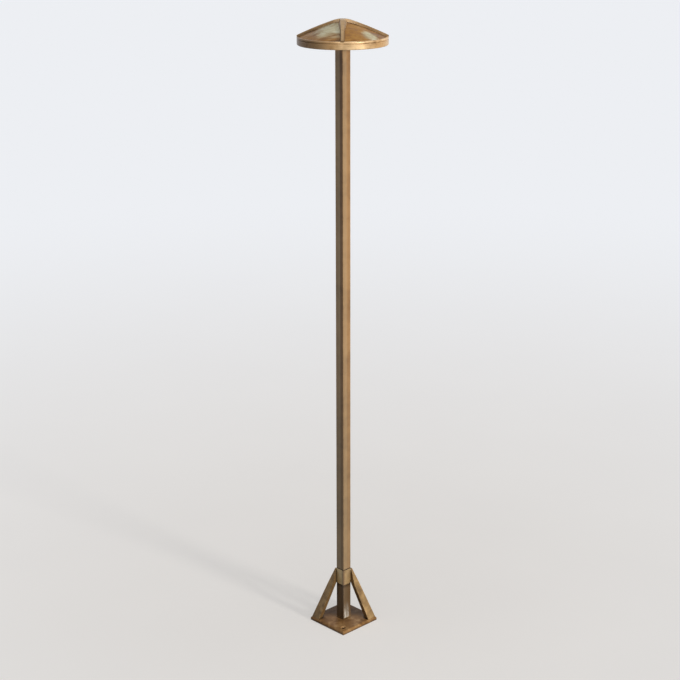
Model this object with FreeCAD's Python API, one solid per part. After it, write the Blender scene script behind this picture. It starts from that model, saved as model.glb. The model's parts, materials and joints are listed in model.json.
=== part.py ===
import FreeCAD, Part
import math
import os

# A brass path light: a screw-down base with two sloping legs, a square stem and a domed hat of four panels.
# Millimetres, +Z up. The origin is the middle of the base plate's underside.
# The legs stand on the X axis, and the front is -Y. The plate, the collar and the stem are square and stand
# corner-on, so that their corners lie on the X and Y axes.

# Fits
SLIP_GAP = 0.15
RUN_GAP = 0.05
SEAT_GAP = 0.1
CLEAR_GAP = 0.3
PASS_GAP = 3.0

# Base plate
PLATE_SIDE = 91.0
PLATE_THICK = 7.0
PLATE_BEVEL = 2.0
MOUNT_SPACING = 92.4
MOUNT_HOLE_R = 3.0
MOUNT_SINK_R = 5.2

# Stem, and the seat that it stands on
STEM_SIDE = 19.05
STEM_WALL = 1.6
STEM_CORNER_R = 0.5
STEM_LENGTH = 1101.0
SEAT_THICK = 2.0
SEAT_SPIGOT = 12.0
SEAT_TENON_R = 8.0

# Cable grommet in the seat's bore
CABLE_R = 4.0
GROMMET_WALL = 1.5
GROMMET_FLANGE_R = 6.6
GROMMET_FLANGE = 1.5
GROMMET_RECESS = 0.5

# Collar and its set screws
COLLAR_SIDE = 21.4
COLLAR_HEIGHT = 30.3
COLLAR_CLEARANCE = 73.7
COLLAR_BEVEL = 0.5
SET_BOSS_R = 4.5
SET_BOSS_HEIGHT = 2.5
SET_SCREW_R = 2.5
SET_SCREW_LENGTH = 5.0
SET_SCREW_KEY = 2.5

# Legs: the width of an outer face and the reach of the outer corner, at the foot, neck and tip
LEG_FOOT_FACE = 19.0
LEG_FOOT_DEPTH = 20.0
LEG_NECK_FACE = 13.0
LEG_NECK_REACH = 14.9
LEG_TIP_FACE = 2.2
LEG_TIP_REACH = 1.0
LEG_NOTCH = 0.9
LEG_SCREW_R = 2.5
LEG_SCREW_HEAD_R = 4.6
LEG_SCREW_LENGTH = 18.0
LEG_SCREW_KEY = 3.0

# Head fitting at the top of the stem
FLANGE_R = 30.0
FLANGE_THICK = 4.0
FITTING_SPIGOT = 25.0
FITTING_BORE_R = 4.5
UPSTAND_WALL = 2.0
UPSTAND_HEIGHT = 5.0
FITTING_SCREW_R = 1.5
FITTING_SCREW_LENGTH = 4.0
FITTING_SCREW_DROP = 12.0
FITTING_SCREW_KEY = 1.5

# Leads inside the stem
LEAD_R = 1.0
LEAD_OFFSET = 2.6
LEAD_END = 50.0
CAP_R = 2.4
CAP_LENGTH = 18.0
CAP_GRIP = 8.0

# Lamp holder and lamp
HOLDER_R = 10.0
HOLDER_HEIGHT = 11.0
HOLDER_EDGE = 0.8
HOLDER_SCREW_R = 1.25
HOLDER_SCREW_HEAD_R = 2.2
HOLDER_SCREW_HEAD = 1.6
HOLDER_SCREW_GRIP = 3.0
HOLDER_SCREW_OFFSET = 6.6
HOLDER_SCREW_SLOT = 0.6
PIN_R = 0.5
PIN_OFFSET = 2.0
PIN_LENGTH = 7.0
LAMP_R = 8.0
LAMP_BASE = 3.0
BOARD_R = 8.5
BOARD_THICK = 1.2
DIODE_SIDE = 2.6
DIODE_HEIGHT = 0.8
DIODE_RING_R = 5.2
DIODE_COUNT = 6

# Lens, its gasket and its threaded ring
LENS_R = 16.0
LENS_WALL = 2.0
LENS_HEIGHT = 29.0
LENS_CROWN_R = 6.0
LENS_LIP_R = 18.0
LENS_LIP = 2.5
GASKET_THICK = 1.5
GASKET_INNER_R = 14.5
LENS_RING_R = 20.0
LENS_RING_LIP = 1.5

# Hat: crown and shoulder of the ridge line, ribs, panels, liner and rim
HAT_R = 80.0
HAT_HEIGHT = 44.6
HAT_OVERHANG = 2.0
CROWN_R = 50.0
CROWN_SPAN = 16.0
RIB_END_HEIGHT = 2.2
RIB_HEIGHT = 4.0
RIB_CROWN_TOP = 9.5
RIB_CROWN_FOOT = 17.0
RIB_TOP = 4.6
RIB_FOOT = 7.6
RIB_TAPER_R = 48.0
WEB_WIDTH = 4.5
PANEL_THICK = 1.5
LINER_THICK = 0.8
RIM_HEIGHT = 14.0
RIM_WALL = 4.0
RIM_BEVEL = 1.2
RIM_BEAD_R = 1.8
GROOVE_BELOW_TOP = 4.0
GROOVE_WIDTH = 2.0
GROOVE_DEPTH = 1.0
LEDGE_WIDTH = 6.0
LEDGE_RISE = 9.5
RIB_SCREW_R = 1.25
RIB_SCREW_HEAD_R = 2.4
RIB_SCREW_HEAD = 1.8
RIB_SCREW_LENGTH = 7.5
RIB_SCREW_SLOT = 0.7

# Seat ring and posts that carry the hat on the head fitting
RING_WALL = 3.0
RING_THICK = 3.0
RING_SKIRT = 6.0
RING_BEVEL = 0.6
POST_R = 2.7
POST_STUD_R = 1.5
POST_STUD = 5.0
BOSS_R = 4.5
BOSS_BELOW_LINER = 0.6
POST_SCREW_R = 1.25
POST_SCREW_HEAD_R = 2.4
POST_SCREW_LENGTH = 9.0
POST_SCREW_KEY = 1.5

# Thumbscrews that hold the hat
THUMB_R = 2.0
THUMB_HEAD_R = 4.2
THUMB_HEAD = 7.0
THUMB_NECK = 0.5
THUMB_TIP_GAP = 0.15
KNURL_COUNT = 20
KNURL_R = 0.35

UP = FreeCAD.Vector(0, 0, 1)
DOWN = FreeCAD.Vector(0, 0, -1)
ROOT_2 = math.sqrt(2)
SIDES = {"left": -1, "right": 1}

# Levels and radii that follow from the sizes above
PLATE_TIP = PLATE_SIDE / ROOT_2
SEAT_TOP = PLATE_THICK + SEAT_THICK
STEM_TOP = SEAT_TOP + STEM_LENGTH
STEM_BORE = STEM_SIDE - 2 * STEM_WALL
SPIGOT_SIDE = STEM_BORE - 2 * SLIP_GAP
GROMMET_R = CABLE_R + GROMMET_WALL
COLLAR_LOW = PLATE_THICK + COLLAR_CLEARANCE
COLLAR_TOP = COLLAR_LOW + COLLAR_HEIGHT
COLLAR_TIP = COLLAR_SIDE / ROOT_2
COLLAR_BORE = STEM_SIDE + 2 * SLIP_GAP
LEG_FOOT_TIP = PLATE_TIP - PLATE_BEVEL * ROOT_2
LEG_SCREW_X = LEG_FOOT_TIP - LEG_FOOT_DEPTH / 2
FLANGE_TOP = STEM_TOP + FLANGE_THICK
UPSTAND_BORE_R = LENS_RING_R + RUN_GAP
UPSTAND_R = UPSTAND_BORE_R + UPSTAND_WALL
HOLDER_TOP = FLANGE_TOP + HOLDER_HEIGHT
LAMP_TOP = HOLDER_TOP + LAMP_BASE
BOARD_TOP = LAMP_TOP + BOARD_THICK
LENS_LOW = FLANGE_TOP + GASKET_THICK
LENS_LIP_TOP = LENS_LOW + LENS_LIP
RIM_LOW = STEM_TOP + HAT_OVERHANG
RIM_TOP = RIM_LOW + RIM_HEIGHT
RIM_BORE_R = HAT_R - RIM_WALL
HAT_TOP = RIM_LOW + HAT_HEIGHT
RIDGE_FALL = HAT_HEIGHT - RIM_HEIGHT - RIB_END_HEIGHT
LEDGE_LOW = RIM_LOW + LEDGE_RISE
PANEL_DROP = RIB_HEIGHT + SEAT_GAP
LINER_DROP = PANEL_DROP + PANEL_THICK + SEAT_GAP
LEDGE_DROP = LINER_DROP + LINER_THICK + SEAT_GAP
RIB_SCREW_CIRCLE = RIM_BORE_R - LEDGE_WIDTH / 2
RING_BORE_R = UPSTAND_R + PASS_GAP
SKIRT_BORE_R = FLANGE_R + CLEAR_GAP
RING_R = SKIRT_BORE_R + RING_WALL
RING_TOP = FLANGE_TOP + RING_THICK
POST_CIRCLE = SKIRT_BORE_R - POST_SCREW_HEAD_R - SEAT_GAP
QUARTERS = [(1, 0), (0, 1), (-1, 0), (0, -1)]


def point(x, y, z):
    return FreeCAD.Vector(x, y, z)


def rod(radius, low, high, x=0.0, y=0.0):
    """Upright cylinder between two heights."""
    return Part.makeCylinder(radius, high - low, point(x, y, low))


def tube(radius, bore, low, high):
    return rod(radius, low, high).cut(rod(bore, low, high))


def square_bar(side, low, high, corner_r=0.0):
    """Upright square bar about Z, standing corner-on."""
    bar = Part.makeBox(side, side, high - low, point(-side / 2, -side / 2, low))
    if corner_r > 0:
        upright = [edge for edge in bar.Edges if abs(edge.Vertexes[0].Z - edge.Vertexes[1].Z) > 0]
        bar = bar.makeFillet(corner_r, upright)
    bar.rotate(point(0, 0, 0), UP, 45)
    return bar


def level_edges(shape, height):
    """Straight edges that lie at one height."""
    return [edge for edge in shape.Edges if all(abs(end.Z - height) < 1e-6 for end in edge.Vertexes)]


def place(shape, base, axis):
    """Stand a shape made along +Z from the origin at a point, along an axis."""
    placed = shape.copy()
    placed.Placement = FreeCAD.Placement(base, FreeCAD.Rotation(UP, axis))
    return placed


def turned(start, steps, seam_angle=45):
    """Solid of revolution about Z. A step is a (radius, height) corner, or an arc's middle and end."""
    edges = []
    here = point(start[0], 0, start[1])
    for step in steps + [start]:
        end = step[1] if isinstance(step[0], tuple) else step
        there = point(end[0], 0, end[1])
        if isinstance(step[0], tuple):
            middle = point(step[0][0], 0, step[0][1])
            edges.append(Part.Arc(here, middle, there).toShape())
        else:
            edges.append(Part.LineSegment(here, there).toShape())
        here = there
    solid = Part.Face(Part.Wire(edges)).revolve(point(0, 0, 0), UP, 360)
    solid.rotate(point(0, 0, 0), UP, seam_angle)
    return solid


def prism(corners, low, high):
    """Upright prism over a closed plan outline."""
    wire = Part.makePolygon([point(x, y, low) for x, y in corners + corners[:1]])
    return Part.Face(wire).extrude(point(0, 0, high - low))


def hexagon(across_flats, depth):
    radius = across_flats / math.sqrt(3)
    angles = [math.radians(60 * turn) for turn in range(6)]
    return prism([(radius * math.cos(a), radius * math.sin(a)) for a in angles], 0, depth)


def grub_screw(radius, length, key):
    """Headless screw with its hexagon socket at the origin's end."""
    return rod(radius, 0, length).cut(hexagon(key, length / 2))


def countersunk(radius, head_r, length):
    """Square-angled countersunk body, its head flush at the origin, going up."""
    cone = Part.makeCone(head_r, radius, head_r - radius)
    return cone.fuse(rod(radius, head_r - radius, length)).removeSplitter()


def pan_screw(radius, head_r, head, length, slot):
    """Slotted screw: the head's seat is at the origin and the shank goes up."""
    cap = rod(head_r, -head, 0)
    cap = cap.makeFillet(head / 3, level_edges(cap, -head))
    blade = Part.makeBox(2 * head_r, slot, head / 2, point(-head_r, -slot / 2, -head))
    return cap.cut(blade).fuse(rod(radius, 0, length)).removeSplitter()


def ridge_line(top):
    """Shoulder and brim points of the ridge line under a crown height, and the shoulder's slope angle."""
    slope = math.asin(CROWN_SPAN / CROWN_R)
    shoulder = (CROWN_SPAN, top - CROWN_R * (1 - math.cos(slope)))
    return shoulder, (HAT_R, top - RIDGE_FALL), slope


def brim_arc(top):
    """Radius and centre of the arc that leaves the shoulder along its slope and ends at the brim."""
    shoulder, brim, slope = ridge_line(top)
    run = brim[0] - shoulder[0]
    fall = shoulder[1] - brim[1]
    radius = math.hypot(run, fall) / (2 * math.sin(math.atan2(fall, run) - slope))
    return radius, (shoulder[0] - radius * math.sin(slope), shoulder[1] - radius * math.cos(slope))


def ridge_height(reach, top):
    """Height of the ridge line at a distance from the axis."""
    if reach < CROWN_SPAN:
        return top - CROWN_R + math.sqrt(CROWN_R ** 2 - reach ** 2)
    radius, centre = brim_arc(top)
    return centre[1] + math.copysign(math.sqrt(radius ** 2 - (reach - centre[0]) ** 2), radius)


def dome(drop):
    """Solid under the hat's ridge line, lowered by a drop, down to the rim's underside."""
    top = HAT_TOP - drop
    shoulder, brim, _ = ridge_line(top)
    crown_middle = CROWN_SPAN / 2
    brim_middle = (CROWN_SPAN + HAT_R) / 2
    steps = [
        ((crown_middle, ridge_height(crown_middle, top)), shoulder),
        ((brim_middle, ridge_height(brim_middle, top)), brim),
        (HAT_R, RIM_LOW),
        (0, RIM_LOW),
    ]
    return turned((0, top), steps)


def layer(upper, lower, radius):
    """Domed sheet between two drops, out to a radius."""
    return dome(upper).cut(dome(lower)).common(rod(radius, RIM_LOW, HAT_TOP))


def mount_points():
    return [point(0, side * MOUNT_SPACING / 2, PLATE_THICK) for side in (-1, 1)]


def leg_screw_points():
    return [point(side * LEG_SCREW_X, 0, 0) for side in (-1, 1)]


def post_points(height):
    return [point(x * POST_CIRCLE, y * POST_CIRCLE, height) for x, y in QUARTERS]


def rib_screw_points():
    return [point(x * RIB_SCREW_CIRCLE, y * RIB_SCREW_CIRCLE, LEDGE_LOW) for x, y in QUARTERS]


def holder_screw_points():
    return [point(0, side * HOLDER_SCREW_OFFSET, HOLDER_TOP) for side in (-1, 1)]


def set_screw_rod(side, radius, length):
    """Rod from the stem's axis out along a set screw."""
    out = point(side, 1, 0).normalize()
    return place(rod(radius, 0, length), point(0, 0, COLLAR_LOW + COLLAR_HEIGHT / 2), out)


def fitting_screw_place(side):
    """Outer end of a fitting screw, flush with the stem's rear face, and the way it points in."""
    out = point(side, 1, 0).normalize()
    base = out * (STEM_SIDE / 2)
    base.z = STEM_TOP - FITTING_SCREW_DROP
    return base, out * -1


# Base

def base_plate():
    plate = square_bar(PLATE_SIDE, 0, PLATE_THICK)
    plate = plate.makeChamfer(PLATE_BEVEL, level_edges(plate, PLATE_THICK))
    plate = plate.cut(rod(SEAT_TENON_R + RUN_GAP, 0, PLATE_THICK))
    for base in mount_points():
        plate = plate.cut(place(countersunk(MOUNT_HOLE_R, MOUNT_SINK_R, PLATE_THICK), base, DOWN))
    for base in leg_screw_points():
        sink = countersunk(LEG_SCREW_R + RUN_GAP, LEG_SCREW_HEAD_R + RUN_GAP, PLATE_THICK)
        plate = plate.cut(place(sink, base, UP))
    return plate


def collar():
    sleeve = square_bar(COLLAR_SIDE, COLLAR_LOW, COLLAR_TOP)
    sleeve = sleeve.makeChamfer(COLLAR_BEVEL, level_edges(sleeve, COLLAR_TOP))
    for side in SIDES.values():
        sleeve = sleeve.fuse(set_screw_rod(side, SET_BOSS_R, COLLAR_SIDE / 2 + SET_BOSS_HEIGHT))
    sleeve = sleeve.cut(square_bar(COLLAR_BORE, COLLAR_LOW, COLLAR_TOP))
    for side in SIDES.values():
        sleeve = sleeve.cut(set_screw_rod(side, SET_SCREW_R + RUN_GAP, COLLAR_SIDE))
    return sleeve.removeSplitter()


def leg_section(side, height, tip, face, inner):
    """Level outline of a leg: an outer corner, two long faces, two short ones and a flat inner face."""
    reach = face / ROOT_2
    shoulder = tip - reach
    half_flat = reach - (shoulder - inner)
    front = [(tip, 0), (shoulder, -reach), (inner, -half_flat)]
    back = [(x, -y) for x, y in reversed(front)]
    return Part.makePolygon([point(side * x, y, height) for x, y in front + back])


def leg(side):
    notch = COLLAR_TIP - LEG_NOTCH
    foot = leg_section(side, PLATE_THICK, LEG_FOOT_TIP, LEG_FOOT_FACE, LEG_FOOT_TIP - LEG_FOOT_DEPTH)
    neck = leg_section(side, COLLAR_LOW, COLLAR_TIP + LEG_NECK_REACH, LEG_NECK_FACE, notch)
    tip = leg_section(side, COLLAR_TOP, COLLAR_TIP + LEG_TIP_REACH, LEG_TIP_FACE, notch)
    bar = Part.makeLoft([foot, neck, tip], True, True)
    bar = bar.cut(square_bar(COLLAR_SIDE, COLLAR_LOW, COLLAR_TOP))
    screw_top = LEG_SCREW_LENGTH + RUN_GAP
    return bar.cut(rod(LEG_SCREW_R + RUN_GAP, PLATE_THICK, screw_top, side * LEG_SCREW_X))


def leg_screws():
    screw = countersunk(LEG_SCREW_R, LEG_SCREW_HEAD_R, LEG_SCREW_LENGTH)
    screw = screw.cut(hexagon(LEG_SCREW_KEY, LEG_SCREW_HEAD_R - LEG_SCREW_R))
    return Part.makeCompound([place(screw, base, UP) for base in leg_screw_points()])


def stem_seat():
    seat = square_bar(STEM_SIDE, PLATE_THICK, SEAT_TOP)
    seat = seat.fuse(square_bar(SPIGOT_SIDE, SEAT_TOP, SEAT_TOP + SEAT_SPIGOT))
    seat = seat.fuse(rod(SEAT_TENON_R, GROMMET_RECESS, PLATE_THICK))
    seat = seat.cut(rod(GROMMET_R, GROMMET_RECESS, SEAT_TOP + SEAT_SPIGOT))
    return seat.cut(rod(GROMMET_FLANGE_R, GROMMET_RECESS, GROMMET_RECESS + GROMMET_FLANGE)).removeSplitter()


def cable_grommet():
    flange = rod(GROMMET_FLANGE_R, GROMMET_RECESS, GROMMET_RECESS + GROMMET_FLANGE)
    bush = flange.fuse(rod(GROMMET_R, GROMMET_RECESS, SEAT_TOP))
    return bush.cut(rod(CABLE_R, GROMMET_RECESS, SEAT_TOP)).removeSplitter()


def set_screw(side):
    out = point(side, 1, 0).normalize()
    outer_end = out * (STEM_SIDE / 2 + RUN_GAP + SET_SCREW_LENGTH)
    outer_end.z = COLLAR_LOW + COLLAR_HEIGHT / 2
    return place(grub_screw(SET_SCREW_R, SET_SCREW_LENGTH, SET_SCREW_KEY), outer_end, out * -1)


# Stem and head fitting

def stem():
    bar = square_bar(STEM_SIDE, SEAT_TOP, STEM_TOP, STEM_CORNER_R)
    bar = bar.cut(square_bar(STEM_BORE, SEAT_TOP, STEM_TOP))
    for side in SIDES.values():
        base, inward = fitting_screw_place(side)
        bar = bar.cut(place(rod(FITTING_SCREW_R + RUN_GAP, -STEM_WALL, STEM_SIDE / 2), base, inward))
    return bar


def head_fitting():
    body = rod(FLANGE_R, STEM_TOP, FLANGE_TOP)
    body = body.fuse(square_bar(SPIGOT_SIDE, STEM_TOP - FITTING_SPIGOT, STEM_TOP))
    body = body.fuse(tube(UPSTAND_R, UPSTAND_BORE_R, FLANGE_TOP, FLANGE_TOP + UPSTAND_HEIGHT))
    body = body.cut(rod(FITTING_BORE_R, STEM_TOP - FITTING_SPIGOT, FLANGE_TOP))
    for side in SIDES.values():
        base, inward = fitting_screw_place(side)
        hole = rod(FITTING_SCREW_R + RUN_GAP, 0, FITTING_SCREW_LENGTH + RUN_GAP)
        body = body.cut(place(hole, base, inward))
    for base in holder_screw_points():
        hole_low = FLANGE_TOP - HOLDER_SCREW_GRIP - RUN_GAP
        body = body.cut(rod(HOLDER_SCREW_R + RUN_GAP, hole_low, FLANGE_TOP, base.x, base.y))
    return body.removeSplitter()


def fitting_screws():
    screw = grub_screw(FITTING_SCREW_R, FITTING_SCREW_LENGTH, FITTING_SCREW_KEY)
    return Part.makeCompound([place(screw, *fitting_screw_place(side)) for side in SIDES.values()])


def lead_wire(side):
    return rod(LEAD_R, LEAD_END, FLANGE_TOP, side * LEAD_OFFSET)


def wire_connectors():
    caps = []
    for side in SIDES.values():
        low = LEAD_END + CAP_GRIP - CAP_LENGTH
        cap = rod(CAP_R, low, LEAD_END + CAP_GRIP, side * LEAD_OFFSET)
        cap = cap.makeFillet(CAP_R / 2, level_edges(cap, low))
        caps.append(cap.cut(rod(LEAD_R + RUN_GAP, LEAD_END, LEAD_END + CAP_GRIP, side * LEAD_OFFSET)))
    return Part.makeCompound(caps)


# Lamp and lens

def lamp_holder():
    body = rod(HOLDER_R, FLANGE_TOP, HOLDER_TOP)
    body = body.makeChamfer(HOLDER_EDGE, level_edges(body, HOLDER_TOP))
    for side in (-1, 1):
        hole_low = HOLDER_TOP - PIN_LENGTH - SEAT_GAP
        body = body.cut(rod(PIN_R + RUN_GAP, hole_low, HOLDER_TOP, side * PIN_OFFSET))
    for base in holder_screw_points():
        body = body.cut(rod(HOLDER_SCREW_R + RUN_GAP, FLANGE_TOP, HOLDER_TOP, base.x, base.y))
        head_low = HOLDER_TOP - HOLDER_SCREW_HEAD
        body = body.cut(rod(HOLDER_SCREW_HEAD_R + SLIP_GAP, head_low, HOLDER_TOP, base.x, base.y))
    return body


def holder_screws():
    shank = HOLDER_HEIGHT - HOLDER_SCREW_HEAD + HOLDER_SCREW_GRIP
    screw = pan_screw(HOLDER_SCREW_R, HOLDER_SCREW_HEAD_R, HOLDER_SCREW_HEAD, shank, HOLDER_SCREW_SLOT)
    drop = point(0, 0, -HOLDER_SCREW_HEAD)
    return Part.makeCompound([place(screw, base + drop, DOWN) for base in holder_screw_points()])


def lamp_base():
    body = rod(LAMP_R, HOLDER_TOP, LAMP_TOP)
    for side in (-1, 1):
        body = body.cut(rod(PIN_R, HOLDER_TOP, LAMP_TOP, side * PIN_OFFSET))
    return body


def lamp_pins():
    low = HOLDER_TOP - PIN_LENGTH
    return Part.makeCompound([rod(PIN_R, low, LAMP_TOP, side * PIN_OFFSET) for side in (-1, 1)])


def lamp_board():
    return rod(BOARD_R, LAMP_TOP, BOARD_TOP)


def lamp_diodes():
    corner = point(-DIODE_SIDE / 2, -DIODE_SIDE / 2, BOARD_TOP)
    diode = Part.makeBox(DIODE_SIDE, DIODE_SIDE, DIODE_HEIGHT, corner)
    diodes = [diode]
    for index in range(DIODE_COUNT):
        other = diode.copy()
        other.translate(point(DIODE_RING_R, 0, 0))
        other.rotate(point(0, 0, 0), UP, 360 * index / DIODE_COUNT)
        diodes.append(other)
    return Part.makeCompound(diodes)


def lens_gasket():
    return tube(LENS_LIP_R, GASKET_INNER_R, FLANGE_TOP, LENS_LOW)


def lens():
    """Glass jar, mouth down: a lip, a straight wall and a rounded crown."""
    bore = LENS_R - LENS_WALL
    top = LENS_LOW + LENS_HEIGHT
    spring = top - LENS_CROWN_R
    hub = LENS_R - LENS_CROWN_R
    inner_r = LENS_CROWN_R - LENS_WALL
    outer_middle = (hub + LENS_CROWN_R / ROOT_2, spring + LENS_CROWN_R / ROOT_2)
    inner_middle = (hub + inner_r / ROOT_2, spring + inner_r / ROOT_2)
    steps = [
        (LENS_LIP_R, LENS_LOW),
        (LENS_LIP_R, LENS_LIP_TOP),
        (LENS_R, LENS_LIP_TOP),
        (LENS_R, spring),
        (outer_middle, (hub, top)),
        (0, top),
        (0, top - LENS_WALL),
        (hub, top - LENS_WALL),
        (inner_middle, (bore, spring)),
    ]
    return turned((bore, LENS_LOW), steps)


def lens_ring():
    ring_top = LENS_LIP_TOP + LENS_RING_LIP
    ring = tube(LENS_RING_R, LENS_LIP_R + SLIP_GAP, FLANGE_TOP, LENS_LIP_TOP)
    return ring.fuse(tube(LENS_RING_R, LENS_R + SLIP_GAP, LENS_LIP_TOP, ring_top)).removeSplitter()


# Hat

def rib_section(x, top_width, foot_width):
    """Upright section across a rib, drawn on past the ridge line and the underside along its flanks."""
    spare = RIB_HEIGHT / 2
    lean = (foot_width - top_width) / (2 * RIB_HEIGHT)
    ridge = ridge_height(abs(x), HAT_TOP)
    half_top = top_width / 2 - lean * spare
    half_foot = foot_width / 2 + lean * spare
    high = ridge + spare
    low = ridge - RIB_HEIGHT - spare
    corners = [(-half_foot, low), (half_foot, low), (half_top, high), (-half_top, high)]
    return Part.makePolygon([point(x, y, z) for y, z in corners + corners[:1]])


def rib_width(x, crown, end):
    """Width of a rib that tapers from the crown and then runs even to the rim."""
    share = min(abs(x) / RIB_TAPER_R, 1)
    return crown + (end - crown) * share


def rib():
    """One rib right across the hat along X, with leaning flanks."""
    half = [0, CROWN_SPAN, RIB_TAPER_R / 2, RIB_TAPER_R, HAT_R]
    stations = [-x for x in reversed(half[1:])] + half
    sections = []
    for x in stations:
        top_width = rib_width(x, RIB_CROWN_TOP, RIB_TOP)
        sections.append(rib_section(x, top_width, rib_width(x, RIB_CROWN_FOOT, RIB_FOOT)))
    bar = Part.makeLoft(sections, True, True)
    bar = bar.common(dome(0)).cut(dome(RIB_HEIGHT))
    return bar.cut(rod(HAT_R, RIM_LOW, RIM_TOP))


def web():
    """Upright strip under a rib, between the panels' edges."""
    strip = Part.makeBox(2 * HAT_R, WEB_WIDTH, HAT_HEIGHT, point(-HAT_R, -WEB_WIDTH / 2, RIM_LOW))
    strip = strip.common(layer(RIB_HEIGHT, PANEL_DROP + PANEL_THICK, RIM_BORE_R - SEAT_GAP))
    return strip.cut(rod(HAT_R, RIM_LOW, RIM_TOP))


def across(shape):
    """The same shape a quarter turn on about Z."""
    other = shape.copy()
    other.rotate(point(0, 0, 0), UP, 90)
    return other


def boss_low():
    """Underside of the bosses, just under the liner at their outer edge."""
    return ridge_height(POST_CIRCLE + BOSS_R, HAT_TOP - LEDGE_DROP) - BOSS_BELOW_LINER


def bosses(radius):
    """Round bosses under the ribs, from the posts' shoulders up into the ribs."""
    under_rib = dome(RIB_HEIGHT / 2)
    uprights = [rod(radius, boss_low(), HAT_TOP, base.x, base.y) for base in post_points(0)]
    return [upright.common(under_rib) for upright in uprights]


def hat_ribs():
    bar = rib()
    strip = web()
    body = bar.fuse([across(bar), strip, across(strip)] + bosses(BOSS_R))
    for base in post_points(boss_low()):
        body = body.cut(rod(POST_STUD_R + RUN_GAP, base.z, base.z + POST_STUD + RUN_GAP, base.x, base.y))
    for base in rib_screw_points():
        hole_top = base.z + RIB_SCREW_LENGTH + RUN_GAP
        body = body.cut(rod(RIB_SCREW_R + RUN_GAP, base.z, hole_top, base.x, base.y))
    return body.removeSplitter()


def panels():
    """Four domed sheets between the ribs' webs, by name."""
    sheet = layer(PANEL_DROP, PANEL_DROP + PANEL_THICK, RIM_BORE_R - SLIP_GAP)
    edge = WEB_WIDTH / 2 + SLIP_GAP
    named = {}
    for depth_name, depth in {"front": -1, "back": 1}.items():
        for side_name, side in SIDES.items():
            corner_x = edge if side > 0 else -edge - HAT_R
            corner_y = edge if depth > 0 else -edge - HAT_R
            quarter = Part.makeBox(HAT_R, HAT_R, HAT_HEIGHT, point(corner_x, corner_y, RIM_LOW))
            panel = sheet.common(quarter)
            named["panel_" + depth_name + "_" + side_name] = panel.cut(bosses(BOSS_R + SLIP_GAP))
    return named


def reflector():
    liner = layer(LINER_DROP, LINER_DROP + LINER_THICK, RIM_BORE_R - SLIP_GAP)
    for base in post_points(RIM_LOW):
        liner = liner.cut(rod(BOSS_R + SLIP_GAP, RIM_LOW, HAT_TOP, base.x, base.y))
    for base in rib_screw_points():
        liner = liner.cut(rod(RIB_SCREW_R + SLIP_GAP, RIM_LOW, HAT_TOP, base.x, base.y))
    return liner


def hat_rim():
    groove = RIM_TOP - GROOVE_BELOW_TOP
    bead = (HAT_R - RIM_BEAD_R, RIM_TOP - RIM_BEAD_R)
    bead_middle = (bead[0] + RIM_BEAD_R / ROOT_2, bead[1] + RIM_BEAD_R / ROOT_2)
    steps = [
        (HAT_R - RIM_BEVEL, RIM_LOW),
        (HAT_R, RIM_LOW + RIM_BEVEL),
        (HAT_R, groove - GROOVE_WIDTH / 2),
        (HAT_R - GROOVE_DEPTH, groove),
        (HAT_R, groove + GROOVE_WIDTH / 2),
        (HAT_R, bead[1]),
        (bead_middle, (bead[0], RIM_TOP)),
        (RIM_BORE_R, RIM_TOP),
    ]
    band = turned((RIM_BORE_R, RIM_LOW), steps)
    ledge = tube(RIM_BORE_R, RIM_BORE_R - LEDGE_WIDTH, LEDGE_LOW, HAT_TOP).common(dome(LEDGE_DROP))
    body = band.fuse(ledge)
    for base in rib_screw_points():
        body = body.cut(rod(RIB_SCREW_R + RUN_GAP, RIM_LOW, HAT_TOP, base.x, base.y))
    return body.removeSplitter()


def rib_screws():
    screw = pan_screw(RIB_SCREW_R, RIB_SCREW_HEAD_R, RIB_SCREW_HEAD, RIB_SCREW_LENGTH, RIB_SCREW_SLOT)
    return Part.makeCompound([place(screw, base, UP) for base in rib_screw_points()])


def hat_ring():
    ring = tube(RING_R, RING_BORE_R, FLANGE_TOP, RING_TOP)
    ring = ring.fuse(tube(RING_R, SKIRT_BORE_R, FLANGE_TOP - RING_SKIRT, FLANGE_TOP)).removeSplitter()
    rims = [edge for edge in level_edges(ring, RING_TOP) if edge.BoundBox.XMax > RING_R - RUN_GAP]
    ring = ring.makeChamfer(RING_BEVEL, rims)
    for base in post_points(FLANGE_TOP):
        sink = countersunk(POST_SCREW_R + RUN_GAP, POST_SCREW_HEAD_R + RUN_GAP, RING_THICK)
        ring = ring.cut(place(sink, base, UP))
    for side in SIDES.values():
        hole = rod(THUMB_R + RUN_GAP, 0, RING_R)
        ring = ring.cut(place(hole, point(0, 0, thumb_height()), point(side, 0, 0)))
    return ring


def hat_posts():
    posts = []
    for base in post_points(RING_TOP):
        post = rod(POST_R, base.z, boss_low(), base.x, base.y)
        post = post.fuse(rod(POST_STUD_R, boss_low(), boss_low() + POST_STUD, base.x, base.y))
        hole_top = FLANGE_TOP + POST_SCREW_LENGTH + RUN_GAP
        posts.append(post.cut(rod(POST_SCREW_R + RUN_GAP, base.z, hole_top, base.x, base.y)))
    return Part.makeCompound(posts)


def post_screws():
    screw = countersunk(POST_SCREW_R, POST_SCREW_HEAD_R, POST_SCREW_LENGTH)
    screw = screw.cut(hexagon(POST_SCREW_KEY, POST_SCREW_HEAD_R - POST_SCREW_R))
    return Part.makeCompound([place(screw, base, UP) for base in post_points(FLANGE_TOP)])


def thumb_height():
    return FLANGE_TOP - FLANGE_THICK / 2


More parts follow.
